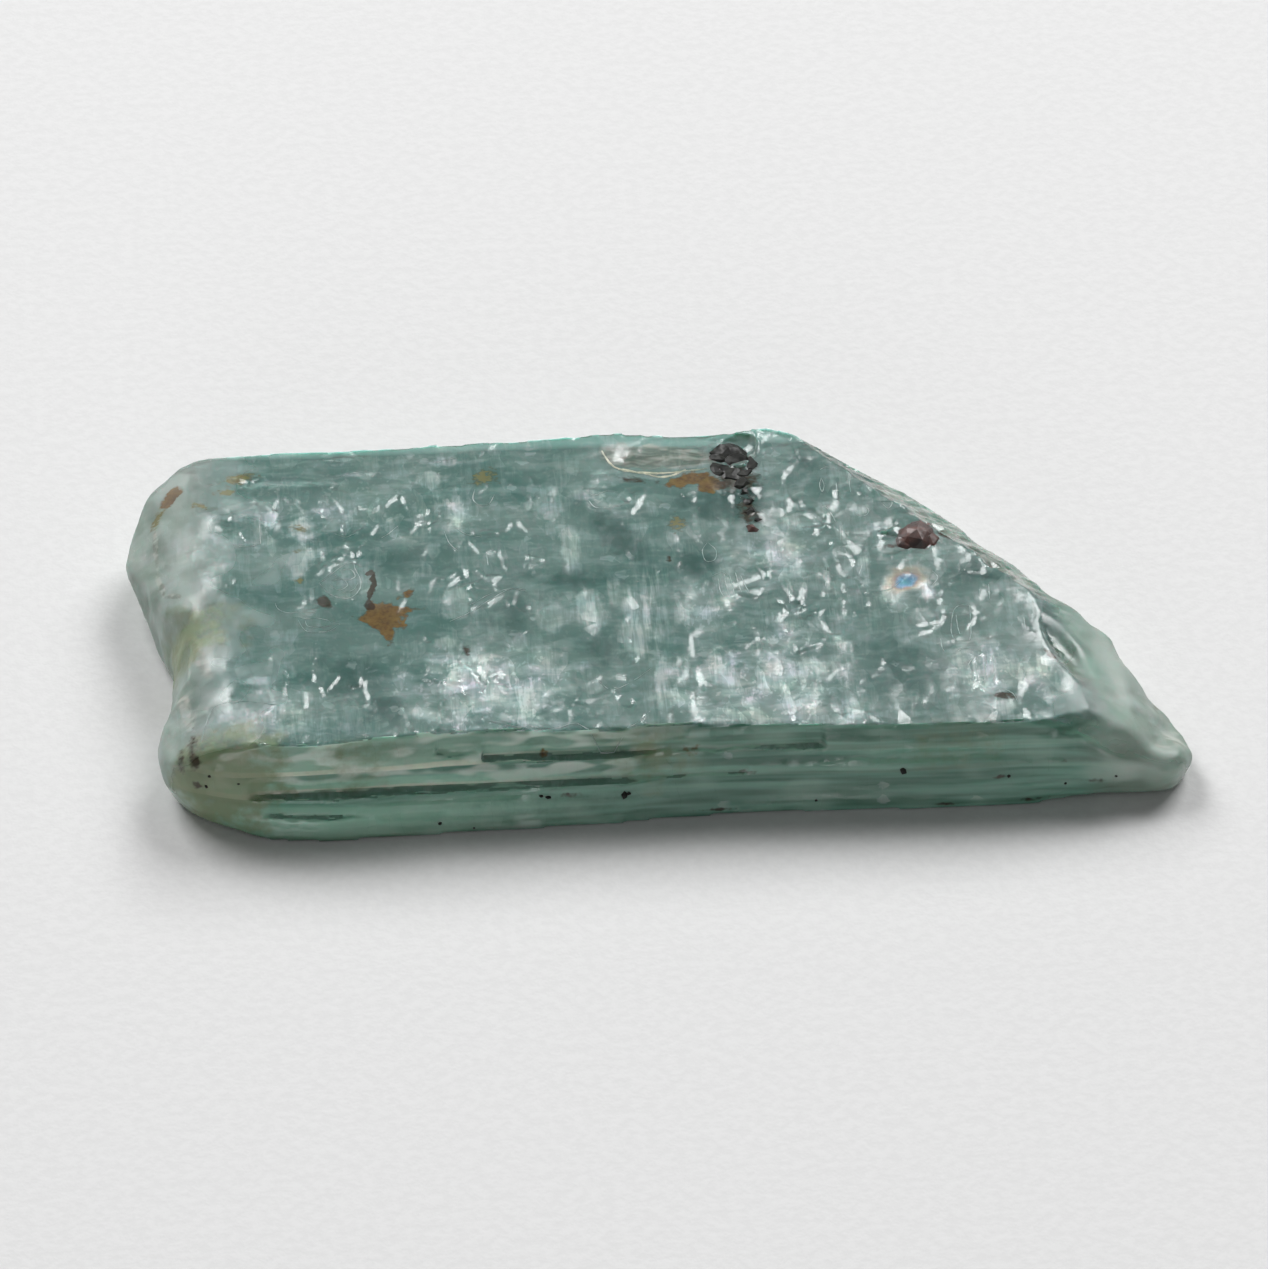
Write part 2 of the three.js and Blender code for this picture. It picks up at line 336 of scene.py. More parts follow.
patch, patch_power = closeness(
    (-9.89, 3.10, 0.43, 0.43, 0, 0.9), (-10.08, 1.59, 0.36, 0.74, 0, 0.7),
    (-8.68, 0.77, 0.64, 0.74, 0, 0.5), (-6.08, 5.12, 0.36, 0.37, 0, 0.7),
    (-5.60, -0.34, 0.36, 0.64, 0, 0.7), (-5.89, -2.02, 0.32, 0.27, 0, 0.8),
    (-3.85, -2.12, 0.25, 0.37, 0, 0.7), (-10.74, 3.58, 0.20, 0.32, 0, 0.7),
    (-11.11, 2.94, 0.11, 0.85, 0, 0.6), (-11.88, 3.96, 0.43, 0.43, 0, 0.4),
    (-11.12, -3.34, 0.43, 0.17, 0, 0.8), (-10.48, -2.95, 0.25, 0.43, 0, 0.5),
    (-12.29, 1.16, 0.32, 0.43, 0, 0.5), (-5.53, -3.40, 0.43, 0.53, 0, 0.8),
    (-5.08, -4.26, 0.28, 0.85, 0, 0.7), (-6.14, 1.94, 0.18, 0.37, 0, 0.6),
    (-8.80, 6.14, 0.43, 0.09, 0, 0.7), (-8.31, 5.44, 0.43, 0.09, 0, 0.7),
    (-5.62, 5.87, 0.43, 0.30, 0, 1.0), (-5.35, 3.65, 0.13, 0.85, 0, 0.6),
    (-12.95, -4.08, 0.43, 0.21, 0, 0.5), (-2.86, -0.92, 0.56, 0.69, 0, 0.6),
    (-1.73, -0.82, 0.37, 0.77, 0, 1.0), (-0.55, -1.49, 0.43, 1.30, 0, 0.9),
    (0.04, -4.23, 0.21, 1.23, 0, 0.8), (-2.19, 1.83, 0.27, 0.84, 0, 0.8),
    (-2.75, 3.91, 0.37, 0.84, 0, 0.7), (-4.73, -3.85, 0.51, 0.92, 0, 0.7),
    (-3.56, -4.50, 0.41, 0.77, 0, 0.7), (2.22, 0.14, 0.56, 0.69, 0, 0.6),
    (-1.07, -0.08, 0.21, 0.61, 0, 0.6), (-1.54, 4.17, 0.41, 0.21, 0, 0.8),
    (3.77, 1.55, 0.51, 0.61, 0, 0.6), (1.75, -3.57, 0.62, 0.61, 0, 0.7),
    (3.36, -3.65, 0.51, 0.92, 0, 0.7), (3.77, 1.46, 0.50, 0.53, 0, 0.7),
    (3.93, -0.17, 0.09, 0.43, 0, 0.9), (4.36, -0.19, 0.07, 0.43, 0, 0.8),
    (5.02, 0.53, 0.10, 0.64, 0, 0.8), (6.13, 0.48, 0.21, 0.53, 0, 0.9),
    (5.28, 3.19, 0.28, 0.28, 0, 0.7), (6.21, 3.03, 0.21, 0.26, 0, 0.7),
    (5.56, 2.24, 0.10, 0.43, 0, 0.6), (3.40, -1.53, 0.28, 0.43, 0, 0.6),
    (4.23, -3.46, 0.36, 0.43, 0, 0.7), (5.23, -3.30, 0.10, 0.96, 0, 0.6),
    (6.91, -0.31, 0.43, 0.43, 0, 0.8), (7.77, -0.35, 0.28, 0.43, 0, 0.8),
    (8.91, -3.90, 0.10, 0.64, 0, 1.0), (9.17, -3.81, 0.09, 0.74, 0, 0.9),
    (9.39, -3.72, 0.09, 0.64, 0, 0.9), (10.24, -4.07, 0.21, 0.43, 0, 0.7),
    (10.76, -3.78, 0.14, 0.43, 0, 0.6), (10.91, -5.04, 0.21, 0.32, 0, 0.6),
    (9.54, -5.39, 0.26, 0.32, 0, 0.8), (10.47, -1.87, 0.10, 0.37, 0, 0.7),
    (6.58, -5.55, 1.00, 0.15, 0, 0.6), (10.05, -5.88, 0.50, 0.13, 0, 0.6),
    (5.35, -5.18, 0.13, 0.32, 0, 0.6), (6.51, 4.07, 0.14, 0.21, 0, 0.6),
    (4.01, 2.65, 0.10, 0.85, 0, 0.5),
)
deep, deep_power = closeness(
    (-9.84, 4.96, 2.28, 0.7, 0, 0.45), (-8.53, -3.26, 1.07, 0.96, 0, 0.7),
    (-7.75, -4.74, 0.43, 0.53, 0, 1.0), (-4.00, -0.95, 0.71, 1.28, 0, 0.6),
    (-6.94, 1.65, 1.07, 0.64, 0, 0.5), (-9.49, -2.58, 0.57, 0.53, 0, 0.5),
    (-0.68, 2.15, 1.38, 0.40, -52, 0.9), (-2.06, 0.51, 1.3, 0.35, -6, 0.6),
    (-3.88, 1.14, 0.92, 0.3, 10, 0.4), (2.47, 3.50, 1.13, 0.61, 0, 1.0),
    (1.26, 1.04, 0.62, 0.46, 0, 0.8), (-4.20, -1.31, 1.03, 0.92, 0, 0.5),
    (-1.52, -2.35, 0.62, 0.92, 0, 0.6), (2.75, -2.41, 0.41, 0.92, 0, 0.5),
    (0.55, -0.31, 0.31, 0.92, 0, 0.4), (9.26, 0.33, 0.85, 0.48, 0, 0.8),
    (6.88, -3.80, 1.28, 1.17, 0, 0.6), (7.55, -1.94, 0.64, 0.53, 0, 0.4),
    (10.70, -2.31, 0.43, 0.64, 0, 0.7), (4.79, 5.15, 0.36, 0.64, 0, 0.5),
    (9.74, -4.77, 0.14, 0.43, -45, 0.6), (11.5, -2.4, 0.5, 0.8, 25, 1.0),
    (12.1, -3.2, 0.45, 0.7, 25, 1.0), (12.8, -5.3, 0.5, 0.4, 0, 0.6),
    ragged=0.6, deep=1.4,
)
band, band_power = closeness(
    (-0.05, -0.9, 0.6, 4.2, 1, 0.45), (5.1, -2.2, 0.3, 3.4, 0, 0.4), (-11.2, 2.6, 0.7, 1.6, 0, 0.3),
    ragged=0.4,
)
stain, stain_power = closeness(
    (-7.55, -0.75, 0.5, 0.55, 0, 0.95), (-7.1, -0.55, 0.6, 0.16, 12, 0.9),
    (-8.05, -0.95, 0.45, 0.14, -15, 0.9), (-7.6, -1.3, 0.2, 0.5, 8, 0.9),
    (-7.2, -0.1, 0.13, 0.4, -50, 0.8), (1.45, 4.7, 0.5, 0.4, 8, 1.0), (1.9, 4.5, 0.3, 0.4, 8, 1.0),
    (-13.6, 4.85, 0.2, 0.35, -35, 0.8),
    ragged=0.8,
)
side_stain, side_stain_power = closeness(
    (0.69, -5.96, 0.45, 0.5, 0, 0.62), (-3.4, -5.9, 0.2, 0.5, 0, 0.5),
    (-5.2, -5.7, 0.3, 0.3, 0, 0.5),
    z=2.0, deep=0.25,
)
olive, olive_power = closeness(
    (-11.65, 5.34, 0.42, 0.2, 25, 0.8), (-11.98, 4.74, 0.36, 0.1, 5, 0.7),
    (-12.7, 4.2, 0.36, 0.13, -20, 0.6), (-9.93, 3.12, 0.34, 0.25, 0, 0.4),
    (-9.98, 2.1, 0.16, 0.12, 0, 0.5), (-9.96, 0.83, 0.12, 0.25, -20, 0.7),
    (-4.58, 5.07, 0.42, 0.3, 10, 0.7), (0.91, 2.79, 0.25, 0.32, 0, 0.6),
    (-14.0, 4.2, 0.14, 0.4, -20, 0.8),
)
# dark marks: thin dark lines and specks, and the two broad spots at 2.7, 4.6 and 3.0, 3.2 beside
# the black grains, which are painted shade in the crystal round them
dark, dark_power = closeness(
    (-7.86, 0.72, 0.045, 0.3, 6, 1.0), (-7.98, 1.02, 0.1, 0.05, 20, 1.0),
    (-7.98, 0.2, 0.05, 0.4, -14, 1.0), (-8.03, -0.35, 0.12, 0.14, 0, 1.0),
    (-9.31, -0.15, 0.16, 0.24, 30, 1.0), (0.0, 4.75, 0.7, 0.18, -8, 0.6),
    (9.6, -4.92, 0.3, 0.13, -10, 0.9), (-5.37, -2.34, 0.14, 0.2, 0, 0.7),
    (0.58, 1.28, 0.09, 0.16, 0, 1.0), (11.0, -3.2, 0.1, 0.45, 30, 0.6),
    (2.7, 4.6, 0.75, 0.6, 0, 0.55), (3.0, 3.2, 0.35, 0.6, 0, 0.6), (6.9, 1.5, 0.3, 0.12, 0, 0.6),
    (8.5, 1.9, 0.25, 0.15, -30, 0.7),
    ragged=0.5,
)
side_dark, side_dark_power = closeness(
    (7.9, 0.14, 0.6, 0.07, 0, 0.5), (10.1, 0.15, 0.6, 0.07, 0, 0.5), (12.0, 0.7, 0.7, 0.12, 0, 0.4),
    (9.35, 0.9, 0.3, 0.07, 0, 0.48), (11.2, 1.34, 0.2, 0.07, 0, 0.5),
    (12.4, 1.3, 0.2, 0.07, 0, 0.45), (1.4, 0.18, 0.9, 0.07, 0, 0.5),
    (-2.77, 0.94, 0.4, 0.08, 0, 0.48), (2.3, 1.25, 0.4, 0.07, 0, 0.42),
    (-13.1, 2.2, 0.2, 0.28, 0, 0.6), (-13.45, 1.9, 0.14, 0.2, 0, 0.55),
    (-13.03, 1.5, 0.18, 0.15, 0, 0.5),
    ragged=0.7, z=-6.2, deep=1.6, axes=(0, 2, 1),
)
moss, moss_power = closeness(
    (-12.9, -0.9, 1.2, 1.1, 20, 0.8), (-12.2, -5.9, 1.3, 0.8, 0, 0.95),
    (11.5, -3.2, 0.45, 1.2, 20, 0.35), (-8.6, -6.0, 1.2, 0.3, 0, 0.5),
    (-0.5, -5.9, 1.4, 0.4, 0, 0.5), (8.0, -6.0, 1.5, 0.4, 0, 0.4),
    z=1.7, deep=1.6,
)
hue = closeness((7.25, 0.02, 0.62, 0.5, 30, 1.0), ragged=0.4)[0]
# what the material reads: milk holds clouds and white patches; the next holds brown and olive
# stains and dark marks, among them painted shade round the black grains; depth holds dark windows,
# mossy tint and pale bands; shimmer holds the rainbow spot and the pale strips along worn edges
record("milk", cloud * cloud_power, patch, patch_power)
record(
    "tarnish",
    np.maximum(stain * stain_power, side_stain * side_stain_power),
    olive * olive_power,
    np.maximum(dark * dark_power, side_dark * side_dark_power),
)
record("depth", deep * deep_power, moss * moss_power, band * band_power)
strip, strip_power = closeness(
    (7.2, 4.1, 0.75, 0.24, -42, 1.0), (8.1, 3.15, 0.8, 0.28, -45, 1.0),
    (9.0, 2.1, 0.8, 0.32, -48, 1.0), (9.9, 1.0, 0.8, 0.32, -50, 1.0),
    (10.7, 0.0, 0.7, 0.26, -50, 1.0), (-12.9, -2.0, 0.22, 1.2, 16, 0.75),
    (-13.3, -3.8, 0.2, 1.1, 10, 0.75), (-14.05, 3.1, 0.09, 1.2, 2, 0.8),
    (-13.95, 1.6, 0.09, 0.7, 12, 0.8), (-13.55, 0.8, 0.09, 0.4, 50, 0.8),
    (0.5, 5.8, 1.5, 0.5, -5, 0.95),
    ragged=0.25,
)
record("shimmer", hue, strip * strip_power, strip_power)

KYANITE_IOR = 1.72
GLOSS = 0.3                 # share of the mirror light that the rubbed surface keeps
ABSORPTION = 240.0          # density of the clear inside, a metre

kyanite, start = material("kyanite")
at = millimetres(start)
facing = start.node("ShaderNodeNewGeometry", output=1)
front = (facing.part("y") * -1).rise(0.3, 0.75)
rear = facing.part("y").rise(0.3, 0.7)
side = front.most(rear, (facing.part("z") * -1).rise(0, 0.3))
edge_shape = start.node("ShaderNodeNewGeometry", output=7)
level = facing.part("z")
milk = start.node("ShaderNodeAttribute", {"attribute_name": "milk"}, output=1)
tarnish = start.node("ShaderNodeAttribute", {"attribute_name": "tarnish"}, output=1)
depth = start.node("ShaderNodeAttribute", {"attribute_name": "depth"}, output=1)
shimmer = start.node("ShaderNodeAttribute", {"attribute_name": "shimmer"}, output=1)
ragged = (at.noise(3.5, 2, 0.7) - 0.5) * 0.3

# white cloudiness under the upper face, with dark clear windows in it
haze = (milk.part("x") + ragged * 0.6).rise(0.1, 0.6)
bent = at.bent(1.1, 0.5)
pane = bent.stretched(2.6, 1.1, 1.2).cell_value()
combed = at.stretched(6.5, 0.7, 1.5).noise(1, 2, 0.75)
wide = bent.stretched(0.8, 2.2, 2.0, (7, 3, 1)).noise(1, 2, 0.68)
crumbs = at.stretched(6.5, 4.5, 5.0).noise(1, 1, 0.6).rise(0.56, 0.7)
soft = wide.rise(0.42, 0.68) * 0.4 + pane.rise(0.45, 1.0) * combed.rise(0.3, 0.7) * 0.45
patches = (milk.part("y") + ragged).rise(0.34, 0.62) * milk.part("z")
white = soft * (0.42 + haze * 0.5) + haze * 0.28 + crumbs * (0.06 + haze * 0.25)
white = white + patches * (0.22 + combed.rise(0.3, 0.65) * 0.27)
white = white + (depth.part("z") + ragged * 0.5).rise(0.1, 0.5) * combed.rise(0.35, 0.7) * 0.35
windows = (depth.part("x") + ragged * 0.8).rise(0.12, 0.75)
white = white * (1 - windows * 0.7) * (1 - side)
pale_end = (at.part("x") * -1).rise(11.8, 13.4).most(at.part("x").rise(11.3, 13.0))
patchy = at.noise(0.9, 0, 0.6)
worn_right = (at.part("x") + (patchy - 0.5) * 1.5).rise(10.7, 12.4) * 0.85
worn_end = ((patchy - 0.5) * 3.6 - at.part("x")).rise(11.0, 13.1).most(worn_right)
lips = edge_shape.rise(0.515, 0.56) * wide.rise(0.4, 0.6)
lips = lips * (0.34 - worn_end * 0.3) * (1 - at.part("x").rise(9.0, 10.2))
white = white.most(lips).math("MINIMUM", 1.0)

# the crystal's own teal, and the steps and streaks along its sides, with painted light and painted
# shade on the sides
tone = bent.stretched(0.2, 0.4, 0.6).noise(1, 1, 0.6)
teal = tone.rise(0.32, 0.68).mix((0.18, 0.365, 0.325), (0.30, 0.475, 0.43))
teal = (at.part("x").rise(-3, 8) * 0.42).mix(teal, (0.38, 0.51, 0.48))
teal = (windows * 0.6).mix(teal, (0.13, 0.30, 0.27))
streaks = at.stretched(0.12, 1.2, 2.4).noise(1, 2, 0.7)
blotches = at.stretched(0.5, 0.8, 0.9).noise(1, 1, 0.6)
climb = at.part("z") + (at.stretched(0.15, 0.3, 0.5).noise(1, 2, 0.75) - 0.5) * 0.24
# up each side from the foot: darker at the very foot, then a bright band of painted light that
# stands for light coming through the crystal, then two pale lines of painted light on the step
# treads, each with a band of painted shade just under it
ledge_light_and_shade = climb.node("ShaderNodeValToRGB", {"stops": (
    (0.0, (0.08, 0.12, 0.08)), (0.05, (0.25, 0.44, 0.32)), (0.20, (0.42, 0.74, 0.58)),
    (0.33, (0.32, 0.60, 0.46)), (0.38, (0.15, 0.36, 0.27)), (0.42, (0.15, 0.36, 0.27)),
    (0.43, (0.86, 0.94, 0.80)), (0.475, (0.80, 0.90, 0.74)), (0.49, (0.50, 0.78, 0.62)),
    (0.57, (0.34, 0.64, 0.50)), (0.61, (0.15, 0.34, 0.26)), (0.665, (0.15, 0.34, 0.26)),
    (0.675, (0.88, 0.92, 0.76)), (0.725, (0.80, 0.86, 0.70)), (0.74, (0.44, 0.66, 0.52)),
    (0.84, (0.38, 0.60, 0.47)), (0.90, (0.32, 0.52, 0.41)),
)}, {0: climb / 2.8})
plain = streaks.rise(0.38, 0.66).mix((0.08, 0.20, 0.145), (0.23, 0.44, 0.35))
# this ramp weighs most towards the left end, so the sides are painted lighter there: painted light
# for the light that comes through the crystal
painted_glow_leftward = (ragged * 12 - at.part("x")).rise(0, 8)
side_colour_and_painted_light = (painted_glow_leftward * 0.8 + 0.08).mix(plain, ledge_light_and_shade)
side_colour_and_painted_light = (blotches.rise(0.48, 0.7) * 0.35).mix(side_colour_and_painted_light, (0.44, 0.62, 0.52))
smeared = at.stretched(0.7, 1.5, 2.2, (3, 0, 0)).noise(1, 1, 0.75).rise(0.46, 0.62)
clouded_side = smeared * (at.part("x") * -1).rise(-2.5, 3.0) * at.part("z").rise(0.9, 1.9)
side_colour_and_painted_light = (clouded_side * 0.75).mix(side_colour_and_painted_light, (0.78, 0.88, 0.80))
# the top of the back side is painted dark: painted shade along the back rim
side_colour_and_painted_light = (rear * at.part("z").rise(2.1, 2.5) * 0.8).mix(side_colour_and_painted_light, (0.12, 0.15, 0.13))
body = side.mix(teal, side_colour_and_painted_light)
# upward treads low on the sides are painted lighter: painted light that lifts the shade they lie in
tread_painted_light = level.rise(0.42, 0.7) * (2.35 - at.part("z")).rise(0, 0.2)
body = (tread_painted_light * 0.65).mix(body, (0.36, 0.62, 0.48))
step = (1 - level.rise(0.55, 0.85)) * at.part("z").rise(2.3, 2.5) * (1 - side)
body = (step * 0.7).mix(body, (0.50, 0.62, 0.57))

# worn ends, the sloping edge, and painted shade on the back edge and the back side
ends = blotches.rise(0.4, 0.62).mix((0.31, 0.38, 0.32), (0.50, 0.575, 0.52))
body = (pale_end * (0.8 - windows * 0.6)).mix(body, ends)
bevel = (facing.part("y").rise(0.12, 0.45) * at.part("x").rise(3.6, 5.0)).most(
    (shimmer.part("y") + ragged * 0.6).rise(0.35, 0.5)
)
body = (bevel * 0.8).mix(body, wide.rise(0.42, 0.6).mix((0.27, 0.33, 0.27), (0.62, 0.66, 0.58)))
# a thin band at the back edge of the upper face is painted dark: painted shade
rim = facing.part("y").rise(0.05, 0.3) * at.part("z").rise(2.2, 2.45) * (1 - bevel)
body = (rim * 0.85).mix(body, (0.13, 0.16, 0.14))
# the back side is painted darker by half: painted shade
body = (rear * (1 - bevel) * 0.5).mix(body, (0.13, 0.19, 0.165))

# the white is laid over that with a trace of rainbow, then the stains, and the dark marks with
# painted shade round the black grains
tint = at.node("ShaderNodeTexNoise", {}, {"Vector": at, "Scale": 1.4, "Detail": 0}, 1)
film = at.node(
    "ShaderNodeMix", {"data_type": "RGBA"}, {0: 0.14, 6: (0.65, 0.74, 0.73, 1), 7: tint}, 2
)
body = white.mix(body, film)
mossy = (depth.part("y") + ragged).rise(0.15, 0.6)
body = (mossy * 0.8).mix(body, (0.23, 0.28, 0.14))
frayed = (at.stretched(5, 8, 5).noise(1, 1, 0.7) - 0.5) * 0.8
yellowed = (tarnish.part("y") + frayed).rise(0.25, 0.55)
body = (yellowed * 0.85).mix(body, (0.22, 0.19, 0.065))
rusty = (tarnish.part("x") + ragged * 0.6 + frayed * 0.4).rise(0.36, 0.54)
rust = ragged.rise(-0.1, 0.09).mix((0.11, 0.05, 0.016), (0.25, 0.15, 0.036))
body = (rusty * 0.92).mix(body, rust)
# dark marks, and painted shade in the crystal round the black grains
black = (tarnish.part("z") + frayed * 0.5).rise(0.28, 0.5)
body = (black * 0.92).mix(body, (0.055, 0.04, 0.025))
sheen = shimmer.part("x") + ragged * 0.25
rainbow = sheen.node("ShaderNodeValToRGB", {"stops": (
    (0.0, (0.62, 0.70, 0.68)), (0.40, (0.78, 0.82, 0.77)), (0.58, (0.72, 0.66, 0.52)),
    (0.68, (0.58, 0.47, 0.42)), (0.76, (0.36, 0.46, 0.60)), (0.86, (0.18, 0.44, 0.68)),
    (0.98, (0.14, 0.50, 0.60)),
)}, {0: sheen})
glow = (shimmer.part("x") + ragged * 0.5).rise(0.2, 0.6)
body = (glow * 0.8).mix(body, rainbow)

# smooth cleavage faces with small flat facets in them, rubbed dull at both ends
rough = 0.14 + patchy.rise(0.3, 0.7) * 0.11 + worn_end * (1 - side) * 0.4
chatter = at.stretched(3.2, 2.0, 2.5).facets(0.05, True) * (0.3 + milk.part("y"))
chatter = chatter + at.stretched(1.2, 4, 5).noise(1, 1, 0.6) * 0.006
grained = chatter.node("ShaderNodeBump", {}, {"Strength": 1.0, "Distance": MM, "Height": chatter})
clouded = body.node(
    "ShaderNodeBsdfPrincipled",
    {},
    {
        "Base Color": body,
        "Roughness": rough,
        "IOR": KYANITE_IOR,
        "Specular IOR Level": GLOSS,
        "Subsurface Weight": 1.0,
        "Subsurface Radius": (0.5, 1.0, 0.85),
        "Subsurface Scale": 0.25 * MM,
        "Normal": grained,
    },
)
clear = start.node(
    "ShaderNodeBsdfPrincipled",
    {},
    {
        "Base Color": (0.9, 0.97, 0.95, 1),
        "Roughness": rough,
        "IOR": KYANITE_IOR,
        "Specular IOR Level": GLOSS,
        "Transmission Weight": 1.0,
        "Normal": grained,
    },
)

# how much of the light is scattered near the surface, and how much goes through
back_edge = at.part("y").rise(5.9, 6.5)
marks = mossy.most(yellowed, rusty, black, back_edge)
closed = rim.most(rear, marks * 0.9, side * 0.88, pale_end * 0.7, step, worn_right * 0.7)
solidness = (0.46 + white * 0.5 - windows * 0.12).most(closed)
surface = solidness.node("ShaderNodeMixShader", {}, {0: solidness, 1: clear, 2: clouded})
inside = start.node(
    "ShaderNodeVolumeAbsorption", {}, {"Color": (0.10, 0.42, 0.36, 1), "Density": ABSORPTION}
)
surface.node("ShaderNodeOutputMaterial", {}, {"Surface": surface, "Volume": inside})
blade.data.materials.clear()
blade.data.materials.append(kyanite)
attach(blade, "root")
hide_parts(NODE)

# ---- Cleavage feathers inside the blade ----------------------------------------------------
# Thin white films where the crystal has split a little along its cleavages without parting.
# They lie level, or stand along or across the blade, and gather in cloudy places under the face.

ABOVE = 0.02                # where a line down to the upper face starts, metres
FILM_POINTS = 9             # points in the rim of one film
SHALLOWEST = 0.07           # depth of the highest film, mm
LEVEL_SHARE, LONG_SHARE = 0.55, 0.8     # films below the first lie level, then stand lengthwise
STANDING = 1.2              # how far a standing film leans from level, radians
STANDING_DEPTH = 0.15       # how much deeper a standing film lies, mm

chance = random.Random(5)
tree = BVHTree.FromObject(blade, bpy.context.evaluated_depsgraph_get())


def face_height(x, y):
    """Height of the upper face over a place, in millimetres, or None off the level part."""
    hit, facing = tree.ray_cast(Vector((x * MM, y * MM, ABOVE)), Vector((0, 0, -1)))[:2]
    if hit is None or facing.z < 0.8:
        return None
    return hit.z / MM


def feather(rim_points, thickness):
    """One film with a ragged rim: a closed plate of unit width, thickest in the middle."""
    rim = []
    for i in range(rim_points):
        angle = i * math.tau / rim_points
        reach = chance.uniform(0.55, 1.0)
        rim.append((math.cos(angle) * reach, math.sin(angle) * reach, 0.0))
    points = rim + [(0, 0, thickness), (0, 0, -thickness)]
    top, bottom = rim_points, rim_points + 1
    faces = []
    for i in range(rim_points):
        j = (i + 1) % rim_points
        faces.append((i, j, top))
        faces.append((j, i, bottom))
    return points, faces


def films(places):
    """Points and faces of many films. A place is x, y, depth, length, width, turn, tilt, roll."""
    points, faces = [], []
    for x, y, depth, length, width, turn, tilt, roll in places:
        heights = []
        for dx, dy in ((0, 0), (length, 0), (-length, 0), (0, width), (0, -width)):
            heights.append(face_height(x + dx, y + dy))
        if None in heights:
            continue
        z = min(heights) - depth
        own_points, own_faces = feather(FILM_POINTS, 0.1)
        turned = Matrix.Rotation(turn, 3, "Z") @ Matrix.Rotation(tilt, 3, "X")
        turned = turned @ Matrix.Rotation(roll, 3, "Y")
        first = len(points)
        for px, py, pz in own_points:
            moved = turned @ Vector((px * length, py * width, pz * min(length, width) * 0.5))
            points.append(((x + moved.x) * MM, (y + moved.y) * MM, (z + moved.z) * MM))
        faces += [tuple(first + i for i in face) for face in own_faces]
    return points, faces


def cluster(x, y, spread_x, spread_y, count, deepest=1.2, size=0.16):
    """Places for films that gather round a point, spread by chance."""
    made = []
    for _ in range(count):
        px = x + chance.gauss(0, spread_x * 0.5)
        py = y + chance.gauss(0, spread_y * 0.5)
        depth = SHALLOWEST + (deepest - SHALLOWEST) * chance.random() ** 1.8
        length = size * chance.uniform(0.4, 1.6)
        width = size * chance.uniform(0.4, 1.6)
        kind = chance.random()
        if kind < LEVEL_SHARE:
            tilt, roll = chance.gauss(0, 0.12), chance.gauss(0, 0.12)
        elif kind < LONG_SHARE:
            tilt, roll = chance.gauss(STANDING, 0.15), 0.0
        else:
            tilt, roll = 0.0, chance.gauss(STANDING, 0.15)
        if kind >= LEVEL_SHARE:
            depth += STANDING_DEPTH
        made.append((px, py, depth, length, width, chance.gauss(0, 0.12), tilt, roll))
    return made


places = []
for where in (
    (-5.2, -4.2, 2.3, 1.4, 120),
    (1.8, -2.9, 3.6, 2.1, 260),
    (4.4, 0.0, 2.2, 2.4, 160),
    (10.3, -4.4, 1.7, 1.6, 90),
    (-10.7, -4.7, 2.2, 0.8, 60),
    (-10.9, 2.6, 2.2, 1.8, 90),
    (-9.2, 0.9, 1.7, 1.2, 80),
    (-3.2, 3.6, 1.9, 1.6, 110),
    (-0.8, -0.9, 1.6, 1.2, 80),
    (5.0, 3.4, 2.2, 2.2, 110),
    (0.0, 0.0, 12.0, 5.0, 360),
):
    places += cluster(*where)
points, faces = films(places)
sheet = bpy.data.meshes.new("cleavage_feathers")
sheet.from_pydata(points, [], faces)
feathers = bpy.data.objects.new("cleavage_feathers", sheet)
bpy.context.scene.collection.objects.link(feathers)
veil, start = material("split film")
at = millimetres(start)
bloom = at.noise(3, 2, 0.5).rise(0.3, 0.7)
milk = bloom.mix((0.50, 0.60, 0.58), (0.72, 0.77, 0.76))
skin = milk.node(
    "ShaderNodeBsdfPrincipled", {}, {"Base Color": milk, "Roughness": 0.35, "IOR": 1.2}
)
skin.node("ShaderNodeOutputMaterial", {}, {"Surface": skin})
sheet.materials.append(veil)
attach(feathers, "root")

# ---- Rims of splits and etched lines ---------------------------------------------------------
# Where a split or an old scratch meets the upper face, its rim shows as a thin whitish line.
# Each is a flat rod with pointed ends that lies along the face.

